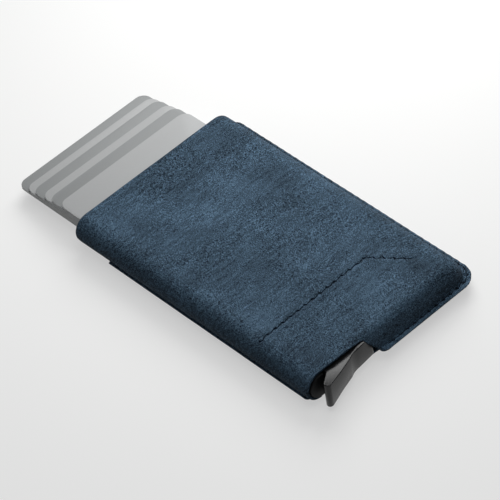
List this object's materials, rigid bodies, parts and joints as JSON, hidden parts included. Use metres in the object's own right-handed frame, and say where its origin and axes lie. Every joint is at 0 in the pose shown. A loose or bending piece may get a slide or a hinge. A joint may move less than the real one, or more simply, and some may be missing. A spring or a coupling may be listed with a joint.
{
  "type": "card wallet",
  "caption": "Slim leather card wallet: an aluminium card case in a sewn leather sleeve, with a corner lever whose stepped arm fans the cards out of the open end",
  "frame": {"origin": "on the resting face of the back pocket, midway across the cards and midway along the sleeve", "axes": "+X from the rounded spine to the sewn flange, +Y towards the mouth that the cards leave by, +Z out of the front"},
  "size_m": [0.069, 0.1406, 0.012],
  "materials": {
    "leather": "fine-grained navy leather, satin",
    "lining": "thin dark lining",
    "adhesive": "adhesive film",
    "aluminium": "anodised, satin",
    "black_plastic": "moulded, matte",
    "felt": "felt",
    "lever_plastic": "moulded, satin dark grey",
    "steel": "bright",
    "card_light": "plain light grey, satin gloss",
    "card_dark": "plain mid grey, satin gloss"
  },
  "bodies": {
    "sleeve": {"leather_wrap": "leather", "back_pocket": "leather", "front_lining": "lining", "front_film": "adhesive", "back_film": "adhesive", "case_tube": "aluminium", "rail_left": "black_plastic", "rail_right": "black_plastic", "felt_left": "felt", "felt_right": "felt", "pivot_block": "black_plastic", "end_plug": "black_plastic", "pivot_pin": "steel", "return_spring": "steel"},
    "lever": {"lever": "lever_plastic"},
    "card_1": {"card_1": "card_light"},
    "card_2": {"card_2": "card_dark"},
    "card_3": {"card_3": "card_light"},
    "card_4": {"card_4": "card_dark"},
    "card_5": {"card_5": "card_light"},
    "card_6": {"card_6": "card_dark"}
  },
  "joints": [
    {"name": "lever_swing", "type": "hinge", "parent": "sleeve", "child": "lever", "pos_m": [-0.02, -0.0404, 0.0066], "axis": [0, 0, 1], "range_deg": [0, 50], "stiffness_Nm_per_rad": 0.012, "springref_deg": -20.05, "deforming": ["return_spring"]},
    {"name": "card_1_slide", "type": "slide", "parent": "sleeve", "child": "card_1", "axis": [0, 1, 0], "range_m": [-0.0134, 0.0737]},
    {"name": "card_2_slide", "type": "slide", "parent": "sleeve", "child": "card_2", "axis": [0, 1, 0], "range_m": [-0.0184, 0.0687]},
    {"name": "card_3_slide", "type": "slide", "parent": "sleeve", "child": "card_3", "axis": [0, 1, 0], "range_m": [-0.022, 0.0651]},
    {"name": "card_4_slide", "type": "slide", "parent": "sleeve", "child": "card_4", "axis": [0, 1, 0], "range_m": [-0.0266, 0.0605]},
    {"name": "card_5_slide", "type": "slide", "parent": "sleeve", "child": "card_5", "axis": [0, 1, 0], "range_m": [-0.03, 0.0571]},
    {"name": "card_6_slide", "type": "slide", "parent": "sleeve", "child": "card_6", "axis": [0, 1, 0], "range_m": [-0.034, 0.0531]}
  ]
}
